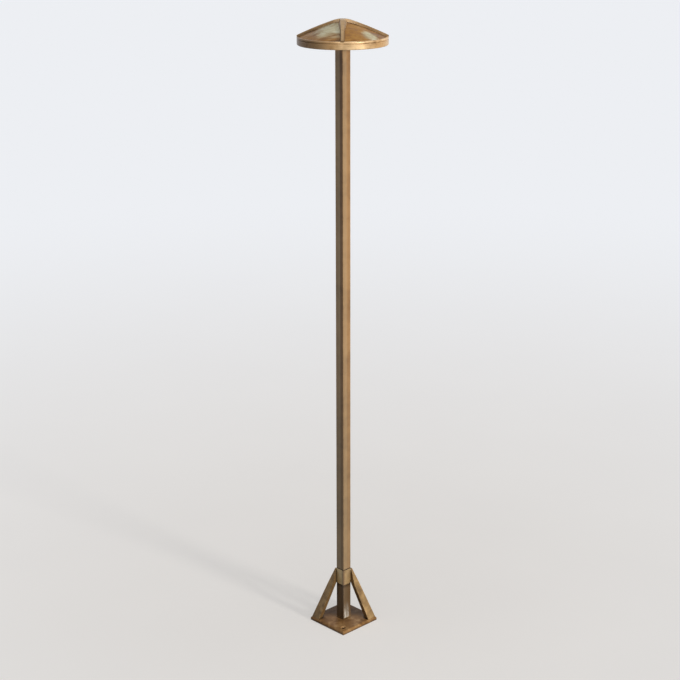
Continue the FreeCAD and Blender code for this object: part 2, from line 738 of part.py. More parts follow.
def thumbscrew(side):
    """Knurled screw made along +Z from its tip, then laid along X through the ring's skirt."""
    shank = RING_R + THUMB_NECK - FLANGE_R - THUMB_TIP_GAP
    head = rod(THUMB_HEAD_R, shank, shank + THUMB_HEAD)
    head = head.makeChamfer(KNURL_R, level_edges(head, shank) + level_edges(head, shank + THUMB_HEAD))
    grooves = []
    for index in range(KNURL_COUNT):
        angle = 2 * math.pi * index / KNURL_COUNT
        x = THUMB_HEAD_R * math.cos(angle)
        y = THUMB_HEAD_R * math.sin(angle)
        grooves.append(rod(KNURL_R, shank, shank + THUMB_HEAD, x, y))
    screw = head.cut(grooves).fuse(rod(THUMB_R, 0, shank)).removeSplitter()
    tip = point(side * (FLANGE_R + THUMB_TIP_GAP), 0, thumb_height())
    return place(screw, tip, point(side, 0, 0))


def all_pieces():
    pieces = {
        "base_plate": base_plate(),
        "collar": collar(),
        "leg_screws": leg_screws(),
        "stem_seat": stem_seat(),
        "cable_grommet": cable_grommet(),
        "stem": stem(),
        "head_fitting": head_fitting(),
        "fitting_screws": fitting_screws(),
        "lead_wire_a": lead_wire(-1),
        "lead_wire_b": lead_wire(1),
        "wire_connectors": wire_connectors(),
        "lamp_holder": lamp_holder(),
        "holder_screws": holder_screws(),
        "lamp_base": lamp_base(),
        "lamp_pins": lamp_pins(),
        "lamp_board": lamp_board(),
        "lamp_diodes": lamp_diodes(),
        "lens_gasket": lens_gasket(),
        "lens": lens(),
        "lens_ring": lens_ring(),
        "hat_ribs": hat_ribs(),
        "hat_rim": hat_rim(),
        "reflector": reflector(),
        "rib_screws": rib_screws(),
        "hat_ring": hat_ring(),
        "hat_posts": hat_posts(),
        "post_screws": post_screws(),
    }
    pieces.update(panels())
    for name, side in SIDES.items():
        pieces["leg_" + name] = leg(side)
        pieces["set_screw_" + name] = set_screw(side)
        pieces["thumbscrew_" + name] = thumbscrew(side)
    return pieces


os.makedirs("parts", exist_ok=True)
for piece_name, piece in all_pieces().items():
    piece.exportStep("parts/" + piece_name + ".step")
    print(piece_name, len(piece.Solids), "solids", round(piece.Volume, 1), "mm3", piece.isValid())
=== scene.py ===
import bpy
import bmesh
import json
import math
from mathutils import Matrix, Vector, noise


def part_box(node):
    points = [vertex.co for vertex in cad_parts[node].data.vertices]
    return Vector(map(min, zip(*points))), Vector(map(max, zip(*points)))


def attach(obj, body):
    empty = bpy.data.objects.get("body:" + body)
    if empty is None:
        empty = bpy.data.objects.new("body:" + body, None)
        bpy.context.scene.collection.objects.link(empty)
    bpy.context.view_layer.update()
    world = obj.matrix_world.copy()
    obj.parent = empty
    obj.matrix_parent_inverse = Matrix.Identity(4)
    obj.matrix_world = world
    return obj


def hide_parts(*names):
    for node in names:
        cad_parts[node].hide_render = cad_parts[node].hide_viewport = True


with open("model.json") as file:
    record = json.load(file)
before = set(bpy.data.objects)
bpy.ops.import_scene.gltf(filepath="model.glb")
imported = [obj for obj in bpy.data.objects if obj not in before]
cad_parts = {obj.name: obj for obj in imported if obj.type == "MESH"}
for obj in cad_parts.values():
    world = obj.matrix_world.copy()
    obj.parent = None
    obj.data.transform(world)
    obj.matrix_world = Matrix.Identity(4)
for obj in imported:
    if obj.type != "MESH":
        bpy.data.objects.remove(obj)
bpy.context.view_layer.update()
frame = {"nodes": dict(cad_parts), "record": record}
nodes = frame["nodes"]
record = frame["record"]
slot_of_node = {entry["node"]: entry["material_slot"] for entry in record["subparts"]}
body_of_node = {node: body for body, members in record["behaviour"]["bodies"].items() for node in members}

# The brass path light's finishes, softened pieces, camera and studio.
# Metres, in the frame of the solids: X runs to the right, -Y to the front and Z up the stem.

# Camera
CAMERA_DISTANCE = 2.739
CAMERA_HEIGHT = 1.451
CAMERA_TURN = math.radians(0.6)
CAMERA_PITCH = math.radians(17.77)
CAMERA_ROLL = math.radians(0.1)
CAMERA_LENS = 82.7
CAMERA_SHIFT = -0.0035
CAMERA_REACH = 200.0

# Lamps
KEY_TURN = math.radians(48.0)
KEY_RISE = math.radians(8.0)
KEY_SPREAD = math.radians(10.0)
KEY_STRENGTH = 2.7
KEY_TINT = (1.0, 0.972, 0.935)
TOP_TURN = math.radians(20.0)
TOP_RISE = math.radians(76.0)
TOP_SPREAD = math.radians(50.0)
TOP_STRENGTH = 1.6
TOP_TINT = (0.975, 0.985, 1.0)
LAMP_DISTANCE = 3.0

# Heights that the marks on the stem and the hat follow
COLLAR_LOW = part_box("collar")[0].z
COLLAR_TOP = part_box("collar")[1].z
RIM_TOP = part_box("hat_ribs")[0].z
HAT_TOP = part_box("hat_ribs")[1].z

# Hat: the ridge line, which is a crown arc and a flatter arc down to the ribs' ends
HAT_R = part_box("hat_ribs")[1].x
CROWN_R = 0.050
CROWN_SPAN = 0.016
RIB_END_HEIGHT = 0.0022
RIDGE_FALL = HAT_TOP - RIM_TOP - RIB_END_HEIGHT

# Panels: their drop below the ridge line, and the ribs' feet that their straight edges are tucked under
PANEL_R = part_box("panel_front_right")[1].xy.length
PANEL_START_R = 0.0118
PANEL_DROP = 0.0041
PANEL_THICK = 0.0015
PANEL_TUCK = 0.0008
PANEL_STEPS = 56
PANEL_CREASE = math.radians(40)
RIB_CROWN_FOOT = 0.017
RIB_FOOT = 0.0076
RIB_TAPER_R = 0.048
WAVE_DEPTH = 0.00045
WAVE_SCALE = 70

# Softened pieces: the width of each one's rounded edges, and which edges count as hard and long
SOFT_WIDTHS = {"base_plate": 0.0005, "leg_left": 0.0008, "leg_right": 0.0008, "collar": 0.0004}
SOFT_STEPS = 3
SOFT_CREASE = math.radians(35)
HARD_ANGLE = math.radians(25)
FLAT_ANGLE = math.radians(0.5)
LONG_IN_WIDTHS = 6
WELD = 1e-6
SLIVER = 2e-6


def colour(red, green, blue):
    """Linear colour from sRGB values out of 255."""
    parts = []
    for value in (red, green, blue):
        share = value / 255
        parts.append(share / 12.92 if share <= 0.04045 else ((share + 0.055) / 1.055) ** 2.4)
    return tuple(parts) + (1.0,)


class Graph:
    """A material's node tree, with one short call for each kind of node."""

    def __init__(self, name):
        self.material = bpy.data.materials.new(name)
        self.material.use_nodes = True
        self.tree = self.material.node_tree
        self.tree.nodes.clear()
        self.place = self.node("ShaderNodeTexCoord").outputs["Object"]

    def node(self, kind, **settings):
        made = self.tree.nodes.new(kind)
        for name, value in settings.items():
            setattr(made, name, value)
        return made

    def put(self, socket, value):
        if isinstance(value, bpy.types.NodeSocket):
            self.tree.links.new(value, socket)
        else:
            socket.default_value = value

    def noise(self, scale, detail, roughness, stretch=(1, 1, 1), offset=(0, 0, 0), twist=0.0, place=None):
        mapping = self.node("ShaderNodeMapping")
        self.put(mapping.inputs["Vector"], place or self.place)
        mapping.inputs["Scale"].default_value = stretch
        mapping.inputs["Location"].default_value = offset
        made = self.node("ShaderNodeTexNoise")
        self.put(made.inputs["Vector"], mapping.outputs["Vector"])
        made.inputs["Scale"].default_value = scale
        made.inputs["Detail"].default_value = detail
        made.inputs["Roughness"].default_value = roughness
        made.inputs["Distortion"].default_value = twist
        return made.outputs["Fac"]

    def part(self, vector, name):
        """One component of a vector."""
        split = self.node("ShaderNodeSeparateXYZ")
        self.put(split.inputs["Vector"], vector)
        return split.outputs[name]

    def axis(self, name):
        """Place along an axis."""
        return self.part(self.place, name)

    def facing(self, name):
        """How far a face looks along an axis."""
        return self.part(self.node("ShaderNodeNewGeometry").outputs["Normal"], name)

    def rings(self, drift=0.02):
        """Distance from the axis and height, so that noise there runs round as a lathe's marks do."""
        flat = self.node("ShaderNodeVectorMath", operation="MULTIPLY")
        self.put(flat.inputs[0], self.place)
        flat.inputs[1].default_value = (1, 1, 0)
        length = self.node("ShaderNodeVectorMath", operation="LENGTH")
        self.put(length.inputs[0], flat.outputs["Vector"])
        made = self.node("ShaderNodeCombineXYZ")
        self.put(made.inputs["X"], length.outputs["Value"])
        self.put(made.inputs["Y"], self.times(self.axis("X"), drift))
        self.put(made.inputs["Z"], self.axis("Z"))
        return made.outputs["Vector"]

    def away(self, centre):
        """Distance from a point."""
        made = self.node("ShaderNodeVectorMath", operation="DISTANCE")
        self.put(made.inputs[0], self.place)
        made.inputs[1].default_value = centre
        return made.outputs["Value"]

    def level(self, value, span, to=(0.0, 1.0)):
        """A smooth step from one number to another while a value crosses a span."""
        made = self.node("ShaderNodeMapRange", interpolation_type="SMOOTHSTEP")
        self.put(made.inputs["Value"], value)
        made.inputs["From Min"].default_value = span[0]
        made.inputs["From Max"].default_value = span[1]
        made.inputs["To Min"].default_value = to[0]
        made.inputs["To Max"].default_value = to[1]
        return made.outputs["Result"]

    def band(self, value, span, fade):
        """1 while a value is inside a span, 0 outside it."""
        rise = self.level(value, (span[0] - fade, span[0] + fade))
        fall = self.level(value, (span[1] - fade, span[1] + fade), to=(1.0, 0.0))
        return self.times(rise, fall)

    def maths(self, operation, first, second):
        made = self.node("ShaderNodeMath", operation=operation)
        self.put(made.inputs[0], first)
        self.put(made.inputs[1], second)
        return made.outputs["Value"]

    def times(self, first, second):
        return self.maths("MULTIPLY", first, second)

    def blend(self, *weighted):
        """Sum of values, each times its weight."""
        total = None
        for value, weight in weighted:
            part = self.times(value, weight)
            total = part if total is None else self.maths("ADD", total, part)
        return total

    def mix(self, share, first, second):
        made = self.node("ShaderNodeMix", data_type="RGBA")
        colours = [socket for socket in made.inputs if socket.type == "RGBA"]
        self.put(made.inputs["Factor"], share)
        self.put(colours[0], first)
        self.put(colours[1], second)
        return next(socket for socket in made.outputs if socket.type == "RGBA")

    def tint_in_patches(self, shade, tint, where, patches, span, share=(0.0, 1.0)):
        """A tint over part of a shade, in a share that steps up while noise in patches crosses a span; used
        for stains and for painted light and shade alike.
        """
        return self.mix(self.times(where, self.level(patches, span, to=share)), shade, tint)

    def ramp(self, value, stops):
        made = self.node("ShaderNodeValToRGB")
        self.put(made.inputs["Fac"], value)
        elements = made.color_ramp.elements
        while len(elements) < len(stops):
            elements.new(0.5)
        for element, (position, shade) in zip(elements, stops):
            element.position = position
            element.color = shade
        return made.outputs["Color"]

    def edges(self, radius, gain):
        """How close a point is to a sharp edge, from a rounded normal against the true one."""
        rounded = self.node("ShaderNodeBevel", samples=6)
        rounded.inputs["Radius"].default_value = radius
        true = self.node("ShaderNodeNewGeometry")
        made = self.node("ShaderNodeVectorMath", operation="DOT_PRODUCT")
        self.put(made.inputs[0], rounded.outputs["Normal"])
        self.put(made.inputs[1], true.outputs["Normal"])
        return self.level(made.outputs["Value"], span=(1.0, 1.0 - gain))

    def crevices(self, distance):
        """How deep a point lies in a corner or under a ledge."""
        made = self.node("ShaderNodeAmbientOcclusion", samples=8)
        made.inputs["Distance"].default_value = distance
        return self.level(made.outputs["AO"], span=(0.92, 0.5))

    def bump(self, height, distance, strength):
        made = self.node("ShaderNodeBump")
        made.inputs["Strength"].default_value = strength
        made.inputs["Distance"].default_value = distance
        self.put(made.inputs["Height"], height)
        return made.outputs["Normal"]

    def surface(self, **values):
        shader = self.node("ShaderNodeBsdfPrincipled")
        for name, value in values.items():
            self.put(shader.inputs[name.replace("_", " ")], value)
        out = self.node("ShaderNodeOutputMaterial")
        self.put(out.inputs["Surface"], shader.outputs["BSDF"])
        return self.material


# Aged brass

# Painted shade: the dark given to corners, crevices and the line above the collar
CORNER_SHADE = colour(44, 31, 20)
CORNER_SHADE_DEPTH = 0.005
EDGE_SHEEN_WIDTH = 0.0011
EDGE_SHEEN_GAIN = 0.22
SPECK_SHARE = 0.2
STREAK_WEIGHT = 0.16


def aged_brass(
    name, pale, mid, dark, grain=(1, 1, 1), turned=False, rough=(0.28, 0.44), gloss=0.22, coat=0.2,
    edge_wear_sheen=0.6, corner_shade=0.9, mottle=0.26, marks=None
):
    """Brass gone brown: soft oxide clouds, a fine grain, painted shade in the corners, and edges rubbed
    back to tan that also stand as painted edge highlights.
    """
    graph = Graph(name)
    pale, mid, dark = (colour(*shade) for shade in (pale, mid, dark))
    broad = graph.noise(scale=16, detail=4, roughness=0.5, offset=(3.1, 1.7, 0.4))
    blotch = graph.noise(scale=80, detail=4, roughness=0.5, offset=(0.7, 5.2, 2.2), twist=0.4)
    lathe = graph.rings() if turned else None
    streak = graph.noise(scale=900, detail=3, roughness=0.6, stretch=grain, place=lathe)
    speck = graph.noise(scale=900, detail=2, roughness=0.5, offset=(8, 2, 1))
    tone = graph.blend((broad, 1 - STREAK_WEIGHT - mottle), (blotch, mottle), (streak, STREAK_WEIGHT))
    shade = graph.ramp(tone, [(0.34, dark), (0.52, mid), (0.70, pale)])
    shade = graph.mix(graph.level(speck, span=(0.66, 0.76), to=(0.0, SPECK_SHARE)), shade, dark)
    if marks is not None:
        shade = marks(graph, shade, blotch, streak)
    # Painted shade, darker where ambient occlusion finds corners and crevices
    shade = graph.mix(graph.times(graph.crevices(CORNER_SHADE_DEPTH), corner_shade), shade, CORNER_SHADE)
    # Edges rubbed pale: partly real wear, partly a painted highlight along the edges
    rubbed_and_sheen = graph.edges(EDGE_SHEEN_WIDTH, EDGE_SHEEN_GAIN)
    shade = graph.tint_in_patches(shade, pale, rubbed_and_sheen, blotch, span=(0.3, 0.6), share=(0.0, edge_wear_sheen))
    return graph.surface(
        Base_Color=shade,
        Metallic=0.2,
        Roughness=graph.level(tone, span=(0.7, 0.3), to=rough),
        Specular_IOR_Level=gloss,
        Normal=graph.bump(graph.blend((streak, 0.8), (blotch, 0.3)), distance=0.0001, strength=0.5),
        Coat_Weight=coat,
        Coat_Roughness=0.14,
    )


# Marks on single pieces of brass, several of them painted light and shade: each changes the shade by the
# brass's own blotches and streaks

# Painted shade for the legs' inner faces
LEG_INNER_SHADE = colour(82, 58, 34)
# Painted shade for the ribs' steep sides
RIB_SIDE_SHADE = colour(88, 60, 34)


def leg_marks(graph, shade, blotch, streak):
    """Painted shade on the sheltered faces, which look in at the stem."""
    outward = graph.times(graph.facing("X"), graph.maths("SIGN", graph.axis("X"), 0.0))
    inward_shaded = graph.level(outward, span=(-0.25, -0.6))
    return graph.tint_in_patches(shade, LEG_INNER_SHADE, inward_shaded, blotch, span=(0.25, 0.5), share=(0.25, 0.5))


def rib_marks(graph, shade, blotch, streak):
    """Painted shade on the steep sides of the ribs, whose tops stay lighter."""
    steep = graph.level(graph.facing("Z"), span=(0.8, 0.5))
    return graph.tint_in_patches(shade, RIB_SIDE_SHADE, steep, blotch, span=(0.2, 0.5), share=(0.3, 0.5))


# Rim: where its painted shade darkens the left, where its painted highlight lies across and towards the
# front, and its bead's painted highlight
RIM_LEFT_SHADE = colour(98, 70, 43)
RIM_LEFT_SHADE_SPAN = (0.0, -0.055)
RIM_HIGHLIGHT = colour(248, 216, 168)
RIM_HIGHLIGHT_SPAN = (-0.008, 0.048)
RIM_HIGHLIGHT_FADE = 0.016
RIM_HIGHLIGHT_DEPTH = (0.0, -0.03)
BEAD_HIGHLIGHT = colour(230, 194, 146)
BEAD_SHADED_SPAN = (-0.05, 0.01)
BEAD_HEIGHT = 0.0036
BEAD_FADE = 0.0006


def rim_marks(graph, shade, blotch, streak):
    """A rim with painted shade on its left and a painted highlight on its right front and along its bead.
    """
    side = graph.axis("X")
    # Painted shade on the left, then a painted highlight on the right front
    left = graph.level(side, RIM_LEFT_SHADE_SPAN)
    shade = graph.tint_in_patches(shade, RIM_LEFT_SHADE, left, blotch, span=(0.3, 0.6), share=(0.65, 0.8))
    front = graph.level(graph.axis("Y"), RIM_HIGHLIGHT_DEPTH)
    front = graph.times(front, graph.band(side, RIM_HIGHLIGHT_SPAN, RIM_HIGHLIGHT_FADE))
    shade = graph.tint_in_patches(shade, RIM_HIGHLIGHT, front, blotch, span=(0.3, 0.6), share=(0.35, 0.6))
    # Painted highlight along the bead, fainter on the left
    bead = graph.band(graph.axis("Z"), (RIM_TOP - BEAD_HEIGHT, RIM_TOP + BEAD_HEIGHT / 2), BEAD_FADE)
    bead = graph.times(bead, graph.level(side, BEAD_SHADED_SPAN, to=(0.1, 1.0)))
    return graph.tint_in_patches(shade, BEAD_HIGHLIGHT, bead, blotch, span=(0.3, 0.65), share=(0.0, 0.5))


# Plate: where the painted shadow on its rear sets in, how ragged its border is, and how strong it gets
PLATE_REAR_SHADOW = colour(58, 41, 28)
REAR_SHADOW_SPAN = (0.010, 0.034)
REAR_SHADOW_RAGGED = 0.03
REAR_SHADOW_SHARE = 0.72


def plate_marks(graph, shade, blotch, streak):
    """Painted shadow on the plate's rear half, behind the stem."""
    back = graph.blend((graph.axis("Y"), 1.0), (blotch, REAR_SHADOW_RAGGED))
    return graph.mix(graph.level(back, REAR_SHADOW_SPAN, to=(0.0, REAR_SHADOW_SHARE)), shade, PLATE_REAR_SHADOW)


# Collar: the painted light on its left face and the stain down its front corner
COLLAR_LEFT_LIGHT = colour(214, 188, 134)
COLLAR_STAIN = colour(100, 66, 35)
COLLAR_STAIN_SPAN = (-0.0032, 0.0018)
COLLAR_STAIN_FADE = 0.0012


def collar_marks(graph, shade, blotch, streak):
    """Painted light that makes the left face paler than the right one, and a brown stain down the corner
    between them.
    """
    left = graph.level(graph.facing("X"), span=(0.0, -0.6))
    shade = graph.tint_in_patches(shade, COLLAR_LEFT_LIGHT, left, blotch, span=(0.25, 0.6), share=(0.4, 0.7))
    corner = graph.band(graph.axis("X"), COLLAR_STAIN_SPAN, COLLAR_STAIN_FADE)
    return graph.tint_in_patches(shade, COLLAR_STAIN, corner, blotch, span=(0.25, 0.6), share=(0.35, 0.75))


# Stem: long streaks, each with its middle and half width across the stem, its share and its colour; the
# grey one on the left face is also a painted reflection and the pale one right of the front corner a
# painted highlight
STEM_STREAKS_AND_SHEEN = [
    (-0.0088, 0.0036, 0.65, colour(154, 140, 115)),
    (-0.0028, 0.0024, 0.85, colour(84, 53, 27)),
    (0.0036, 0.0030, 0.55, colour(188, 160, 124)),
    (0.0096, 0.0028, 0.45, colour(178, 127, 77)),
]
STREAK_FADE = 0.0012
STREAK_LEAST = 0.6
DRAWN = colour(128, 96, 62)
DRAWN_SHARE = 0.3

# Stem: olive weathering low down, grime and painted shade below the collar with a painted shadow band right
# under it, and a painted shade line at the seam above it
OLIVE = colour(126, 110, 84)
OLIVE_SPAN = (0.12, 0.7)
OLIVE_SHARE = 0.45
GRIME_AND_SHADE = colour(66, 49, 33)
GRIME_AND_SHADE_FADE = 0.004
GRIME_AND_SHADE_SHARE = 0.62
UNDER_COLLAR_SHADOW = colour(58, 42, 28)
UNDER_COLLAR_SHADOW_HEIGHT = 0.005
SEAM_SHADE_HEIGHT = 0.0018
SEAM_SHADE_FADE = 0.0006
SEAM_SHADE_SHARE = 0.8

# Stem: the painted highlight's fade up the foot, and its place across the stem
FOOT_HIGHLIGHT = colour(240, 236, 224)
FOOT_HIGHLIGHT_RISE = (0.046, 0.002)
FOOT_HIGHLIGHT_SPAN = (0.0012, 0.0095)
FOOT_HIGHLIGHT_FADE = 0.0016


def stem_marks(graph, shade, blotch, streak):
    """Streaks and drawing marks with a painted reflection and a painted highlight among them, olive
    weathering, grime and painted shade below the collar, a painted shade line at the seam and a painted
    highlight on the foot.
    """
    side = graph.axis("X")
    height = graph.axis("Z")
    drawn = graph.noise(scale=230, detail=2, roughness=0.5, stretch=(1, 1, 0.004), offset=(0.4, 0.9, 0))
    shade = graph.mix(graph.level(drawn, span=(0.44, 0.62), to=(0.0, DRAWN_SHARE)), shade, DRAWN)
    # Streaks, among them a painted reflection on the left face and a painted highlight right of the front
    # corner
    for middle, half, share, tint in STEM_STREAKS_AND_SHEEN:
        along = graph.band(side, (middle - half, middle + half), STREAK_FADE)
        shade = graph.tint_in_patches(shade, tint, along, drawn, span=(0.3, 0.6), share=(share, share * STREAK_LEAST))
    shade = graph.mix(graph.level(height, OLIVE_SPAN, to=(OLIVE_SHARE, 0.0)), shade, OLIVE)
    # Grime and painted shade on the stem below the collar
    below = (COLLAR_LOW - GRIME_AND_SHADE_FADE, COLLAR_LOW + GRIME_AND_SHADE_FADE)
    shade = graph.mix(graph.level(height, below, to=(GRIME_AND_SHADE_SHARE, 0.0)), shade, GRIME_AND_SHADE)
    # Painted shadow in a band right under the collar
    under = graph.band(height, (COLLAR_LOW - UNDER_COLLAR_SHADOW_HEIGHT, COLLAR_LOW), UNDER_COLLAR_SHADOW_HEIGHT)
    shade = graph.mix(under, shade, UNDER_COLLAR_SHADOW)
    # Painted shade in a thin line on the stem just above the collar
    seam_shade = graph.band(height, (COLLAR_TOP, COLLAR_TOP + SEAM_SHADE_HEIGHT), SEAM_SHADE_FADE)
    shade = graph.mix(graph.times(seam_shade, SEAM_SHADE_SHARE), shade, CORNER_SHADE)
    # Painted highlight on the right face of the stem's foot
    foot_highlight = graph.times(graph.level(height, FOOT_HIGHLIGHT_RISE), graph.level(streak, span=(0.42, 0.56)))
    foot_highlight = graph.times(foot_highlight, graph.band(side, FOOT_HIGHLIGHT_SPAN, FOOT_HIGHLIGHT_FADE))
    return graph.tint_in_patches(shade, FOOT_HIGHLIGHT, foot_highlight, blotch, span=(0.28, 0.46))


# Each brass finish: its three shades out of 255, and what sets it apart
# In each finish the corner darkening is painted shade, and the pale rubbed edges are partly painted
# highlights
BRASS = {
    "base_brass": dict(
        pale=(190, 155, 106), mid=(147, 117, 75), dark=(92, 68, 40), corner_shade=0.65, mottle=0.5, marks=leg_marks
    ),
    "base_plate": dict(
        pale=(194, 157, 110), mid=(138, 101, 60), dark=(92, 62, 34), rough=(0.36, 0.52), gloss=0.12,
        coat=0.04, edge_wear_sheen=0.95, mottle=0.5, marks=plate_marks
    ),
    "collar": dict(
        pale=(188, 157, 110), mid=(158, 129, 87), dark=(110, 87, 56), gloss=0.5, corner_shade=0.5, mottle=0.5,
        marks=collar_marks
    ),
    "stem_brass": dict(
        pale=(192, 153, 106), mid=(172, 134, 89), dark=(112, 83, 54), grain=(1, 1, 0.02), gloss=0.2,
        marks=stem_marks
    ),
    "hat_brass": dict(
        pale=(206, 169, 120), mid=(168, 134, 88), dark=(114, 85, 53), rough=(0.26, 0.38), edge_wear_sheen=0.9,
        corner_shade=1.0, marks=rib_marks
    ),
    "hat_rim": dict(
        pale=(236, 200, 150), mid=(206, 163, 110), dark=(136, 100, 62), turned=True, rough=(0.24, 0.36),
        gloss=0.18, coat=0.08, corner_shade=0.25, marks=rim_marks
    ),
}


# Each panel: the corner of the hat that it fills, its pale cloud, and the seeds of its patina and waves
PANELS = {
    "panel_front_left": dict(
        corner=(-1, -1), cloud_at=(-0.017, -0.028, 1.144), cloud_size=0.031, patina_seed=2.0, wave_seed=3.0
    ),
    "panel_front_right": dict(
        corner=(1, -1), cloud_at=(0.048, -0.040, 1.130), cloud_size=0.0128, patina_seed=3.7, wave_seed=4.0
    ),
    "panel_back_left": dict(
        corner=(-1, 1), cloud_at=(-0.044, 0.034, 1.133), cloud_size=0.020, patina_seed=5.4, wave_seed=5.0
    ),
    "panel_back_right": dict(
        corner=(1, 1), cloud_at=(0.020, 0.032, 1.141), cloud_size=0.026, patina_seed=7.1, wave_seed=6.0
    ),
}

# Patina: the shades of its pale clouds and of the rest, dark flecks, and painted shade in the corners
CREAM_STOPS = [
    (0.34, colour(122, 92, 56)),
    (0.44, colour(166, 146, 106)),
    (0.54, colour(188, 179, 147)),
    (0.68, colour(202, 199, 176)),
]
AMBER_STOPS = [
    (0.34, colour(80, 50, 20)),
    (0.44, colour(118, 78, 29)),
    (0.54, colour(146, 100, 36)),
    (0.70, colour(176, 133, 66)),
]
FLECK = colour(92, 62, 36)
FLECK_SHARE = 0.4
PANEL_SHADE_DEPTH = 0.007
PANEL_SHADE_SHARE = 0.92


def patina(name, seed, cloud_at, cloud_size):
    """Mottled panel: amber and brown, with a streaky cream and grey-green cloud, under thin lacquer."""
    graph = Graph(name)
    offset = (seed, seed * 0.7, seed * 0.3)
    cloud = graph.noise(scale=30, detail=5, roughness=0.58, stretch=(0.6, 1, 1), offset=offset, twist=0.9)
    vein = graph.noise(scale=90, detail=6, roughness=0.64, stretch=(0.35, 1, 1.4), offset=offset, twist=1.2)
    fleck = graph.noise(scale=420, detail=3, roughness=0.6, stretch=(0.5, 1, 1), offset=offset)
    tone = graph.blend((cloud, 0.5), (vein, 0.5))
    cream = graph.ramp(tone, CREAM_STOPS)
    amber = graph.ramp(tone, AMBER_STOPS)
    reach = graph.blend((graph.away(cloud_at), 1.0 / cloud_size), (cloud, -1.6), (vein, -1.0))
    shade = graph.mix(graph.level(reach, span=(-0.9, 0.1)), cream, amber)
    shade = graph.mix(graph.level(fleck, span=(0.58, 0.76), to=(0.0, FLECK_SHARE)), shade, FLECK)
    # Painted shade beside the ribs, where ambient occlusion finds corners
    shade = graph.mix(graph.times(graph.crevices(PANEL_SHADE_DEPTH), PANEL_SHADE_SHARE), shade, CORNER_SHADE)
    return graph.surface(
        Base_Color=shade,
        Metallic=0.05,
        Roughness=graph.level(vein, span=(0.3, 0.7), to=(0.34, 0.52)),
        Specular_IOR_Level=0.15,
        Normal=graph.bump(graph.blend((vein, 1.0), (fleck, 0.25)), distance=0.0005, strength=0.45),
        Coat_Weight=0.1,
        Coat_Roughness=0.16,
    )


# Small and hidden pieces: two shades out of 255, the scale of their mottling, and what sets each apart
PLAIN = {
    "inner_brass": dict(
        light=(204, 168, 110), dark=(188, 152, 96), scale=2400, rough=(0.26, 0.36), metal=0.9, turned=True
    ),
    "thumb_brass": dict(light=(186, 150, 98), dark=(128, 96, 58), scale=210, rough=(0.3, 0.46), metal=0.9),
    "screw_steel": dict(light=(132, 128, 120), dark=(84, 80, 74), scale=380, rough=(0.32, 0.5), metal=0.95),
    "liner_white": dict(light=(238, 235, 226), dark=(220, 216, 204), scale=60, rough=(0.4, 0.55)),
    "seal_rubber": dict(light=(40, 40, 40), dark=(24, 24, 25), scale=700, rough=(0.62, 0.8)),
    "holder_ceramic": dict(light=(232, 226, 212), dark=(208, 200, 184), scale=300, rough=(0.5, 0.66)),
    "lead_black": dict(light=(38, 38, 40), dark=(22, 22, 24), scale=500, rough=(0.42, 0.58)),
    "lead_white": dict(light=(226, 224, 216), dark=(204, 201, 190), scale=500, rough=(0.42, 0.58)),
    "cap_plastic": dict(light=(206, 198, 172), dark=(178, 168, 138), scale=400, rough=(0.4, 0.55)),
    "lamp_plastic": dict(light=(234, 232, 226), dark=(214, 211, 202), scale=400, rough=(0.4, 0.55)),
    "board_white": dict(light=(228, 232, 226), dark=(206, 211, 204), scale=900, rough=(0.36, 0.5)),
    "diode_yellow": dict(light=(240, 214, 110), dark=(220, 184, 70), scale=1200, rough=(0.2, 0.35)),
}


def plain(name, light, dark, scale, rough, metal=0.0, turned=False):
    """Two close shades of one material, with uneven gloss and a fine surface."""
    graph = Graph(name)
    lathe = graph.rings() if turned else None
    tone = graph.noise(scale=scale, detail=4, roughness=0.6, place=lathe)
    return graph.surface(
        Base_Color=graph.ramp(tone, [(0.36, colour(*dark)), (0.64, colour(*light))]),
        Metallic=metal,
        Roughness=graph.level(tone, span=(0.3, 0.7), to=rough),
        Normal=graph.bump(tone, distance=0.00004, strength=0.6),
    )


def glass(name):
    """Pressed clear glass with faint ripples."""
    graph = Graph(name)
    ripple = graph.noise(scale=120, detail=3, roughness=0.5)
    return graph.surface(
        Base_Color=colour(244, 248, 246),
        Roughness=graph.level(ripple, span=(0.3, 0.7), to=(0.02, 0.07)),
        IOR=1.5,
        Transmission_Weight=1.0,
        Normal=graph.bump(ripple, distance=0.0002, strength=0.4),
    )


def finishes():
    """Material of each slot, or of each node where the nodes of a slot differ."""
    made = {name: aged_brass(name, **look) for name, look in BRASS.items()}
    made.update({name: plain(name, **look) for name, look in PLAIN.items()})
    made["lens_glass"] = glass("lens_glass")
    for node, look in PANELS.items():
        made[node] = patina(node, look["patina_seed"], look["cloud_at"], look["cloud_size"])
    return made


# Pieces

def shaded(grid, node, crease):
    """Mesh of a grid, shaded smooth but for the edges that turn by more than an angle."""
    for face in grid.faces:
        face.smooth = True
    for edge in grid.edges:
        edge.smooth = edge.calc_face_angle(0.0) < crease
    mesh = bpy.data.meshes.new(node + "_shown")
    grid.to_mesh(mesh)
    grid.free()
    return mesh


def show(mesh, node, finish):
    """Put a mesh in place of a node: it rides on the node's body and takes its slot."""
    piece = bpy.data.objects.new(node + "_shown", mesh)
    bpy.context.scene.collection.objects.link(piece)
    mesh.materials.append(finish)
    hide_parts(node)
    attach(piece, body_of_node[node])
    return piece


